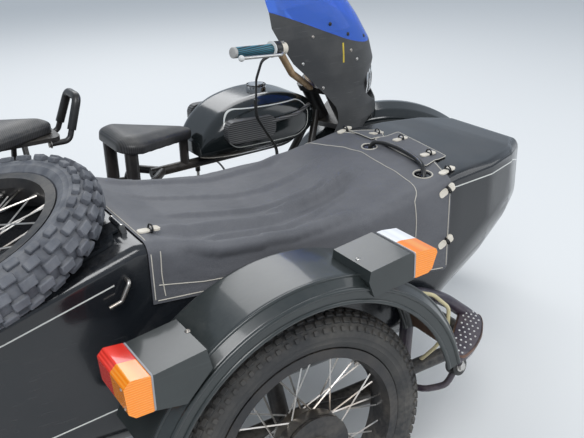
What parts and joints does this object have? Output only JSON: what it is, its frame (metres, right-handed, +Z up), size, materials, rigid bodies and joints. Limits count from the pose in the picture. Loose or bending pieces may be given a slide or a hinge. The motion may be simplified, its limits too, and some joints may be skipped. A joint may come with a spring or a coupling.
{
  "type": "sidecar motorcycle",
  "caption": "Flat-twin motorcycle with handlebar fairing and a covered sidecar on its right, spare wheel on the sidecar's trunk lid.",
  "frame": {"origin": "centre of the bounding box, on the ground", "axes": "+X forward along the motorcycle, +Y to its left, +Z up; the sidecar is on the -Y side"},
  "size_m": [2.4219, 1.6819, 1.382],
  "materials": {
    "frame_paint": "worn gloss black",
    "body_paint": "gloss black with thin pale lines",
    "fender_paint": "glossy dark grey-green",
    "tank_paint": "gloss black with a pale outline",
    "rear_fender_paint": "dark maroon",
    "castings": "dull, oily",
    "cylinder_metal": "rough, brown with heat",
    "exhaust_steel": "dull, stained",
    "chrome": "bright",
    "steel": "dull silver",
    "bar_metal": "tan, rusty",
    "tyre": "dusty",
    "grip_rubber": "blue-green ribbed",
    "saddle_rubber": "ribbed black",
    "pad_rubber": "ribbed grey",
    "cover_vinyl": "dark grey coated cloth with pale stitching",
    "red_plastic": "ribbed lens",
    "amber_plastic": "ribbed lens",
    "clear_plastic": "ribbed lens",
    "lamp_glass": "fluted",
    "screen_plastic": "blue tinted",
    "fairing_plastic": "matt grey-black, scratched",
    "step_paint": "purple-black, worn to copper at its edges",
    "hose_rubber": "cream",
    "cable_black": "black"
  },
  "bodies": {
    "root": {"bike_frame": "frame_paint", "engine_block": "castings", "cylinders": "cylinder_metal", "knee_pads": "pad_rubber", "carburettors": "castings", "exhausts": "exhaust_steel", "fuel_tank": "tank_paint", "tank_cap": "chrome", "driver_saddle": "saddle_rubber", "passenger_saddle": "saddle_rubber", "driver_saddle_springs": "frame_paint", "passenger_saddle_bracket": "frame_paint", "grab_handle": "frame_paint", "rear_fender": "rear_fender_paint", "rear_drive": "castings", "shock_absorbers": "frame_paint", "foot_pegs": "frame_paint", "kick_lever": "steel", "sidecar_frame": "frame_paint", "sidecar_links": "frame_paint", "sidecar_axle": "frame_paint", "sidecar_shock_absorber": "frame_paint", "sidecar_fender": "fender_paint", "lamp_boxes": "fender_paint", "red_lens": "red_plastic", "amber_lenses": "amber_plastic", "clear_lens": "clear_plastic", "sidecar_body": "body_paint", "lid_hinges": "steel", "tonneau_cover": "cover_vinyl", "step_bar": "step_paint", "body_handle": "steel", "tail_lamp": "red_plastic", "lamp_hose": "hose_rubber", "carburettor_cables": "cable_black"},
    "steering": {"fork": "frame_paint", "front_fender": "tank_paint", "handlebar": "bar_metal", "grips": "grip_rubber", "fairing": "fairing_plastic", "windscreen": "screen_plastic", "headlamp": "frame_paint", "headlamp_lens": "lamp_glass", "levers": "steel", "throttle_cables": "cable_black"},
    "front_wheel": {"front_tyre": "tyre", "front_rim": "frame_paint", "front_hub": "steel"},
    "rear_wheel": {"rear_tyre": "tyre", "rear_rim": "frame_paint", "rear_hub": "steel"},
    "sidecar_wheel": {"sidecar_tyre": "tyre", "sidecar_rim": "frame_paint", "sidecar_hub": "steel"},
    "trunk_lid": {"trunk_lid": "body_paint", "spare_tyre": "tyre", "spare_rim": "frame_paint", "spare_hub": "steel", "spare_nut": "steel"}
  },
  "joints": [
    {"name": "steering", "type": "hinge", "parent": "root", "child": "steering", "pos_m": [0.9739, 0.399, 0], "axis": [-0.454, 0, 0.891], "range_deg": [-6, 70]},
    {"name": "front_wheel_spin", "type": "hinge", "parent": "steering", "child": "front_wheel", "pos_m": [0.87562, 0.3597, 0.33142], "axis": [0.4722, 0.848, 0.2406], "continuous": true},
    {"name": "rear_wheel_spin", "type": "hinge", "parent": "root", "child": "rear_wheel", "pos_m": [-0.5461, 0.399, 0.34], "axis": [0, 1, 0], "continuous": true},
    {"name": "sidecar_wheel_spin", "type": "hinge", "parent": "root", "child": "sidecar_wheel", "pos_m": [-0.2461, -0.741, 0.34], "axis": [0, 1, 0], "continuous": true},
    {"name": "trunk_lid", "type": "hinge", "parent": "root", "child": "trunk_lid", "pos_m": [-0.54088, -0.296, 0.87806], "axis": [0, 1, 0], "range_deg": [0, 70]}
  ]
}
